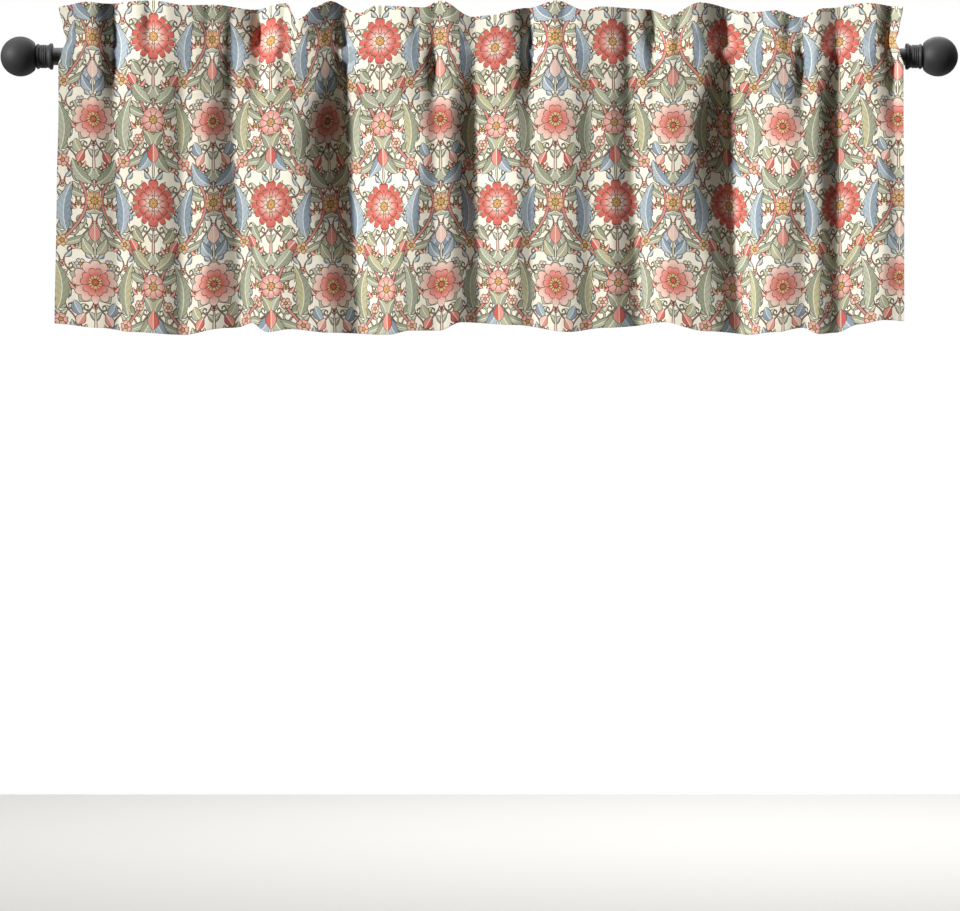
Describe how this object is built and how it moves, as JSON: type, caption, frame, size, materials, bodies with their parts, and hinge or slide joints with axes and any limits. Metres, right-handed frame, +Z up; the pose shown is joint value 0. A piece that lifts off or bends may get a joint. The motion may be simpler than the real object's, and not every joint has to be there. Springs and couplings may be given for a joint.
{
  "type": "blackout curtain valance on a curtain rod",
  "caption": "Short rod-pocket blackout curtain valance, gathered in soft folds on a straight black rod with a ball finial at each end.",
  "frame": {"origin": "middle of the rod's axis", "axes": "+X along the rod to the right as seen from the room, +Z up, printed face towards -Y"},
  "size_m": [1.3702, 0.0591, 0.476],
  "materials": {
    "printed_cloth": "close-woven polyester, cream ground with an all-over floral print, matt",
    "rod_black": "satin black powder coat",
    "finial_black": "satin black powder coat"
  },
  "bodies": {
    "root": {"valance": "printed_cloth", "rod": "rod_black", "finial_collar_left": "finial_black", "finial_collar_right": "finial_black", "finial_ball_left": "finial_black", "finial_ball_right": "finial_black"}
  },
  "joints": []
}
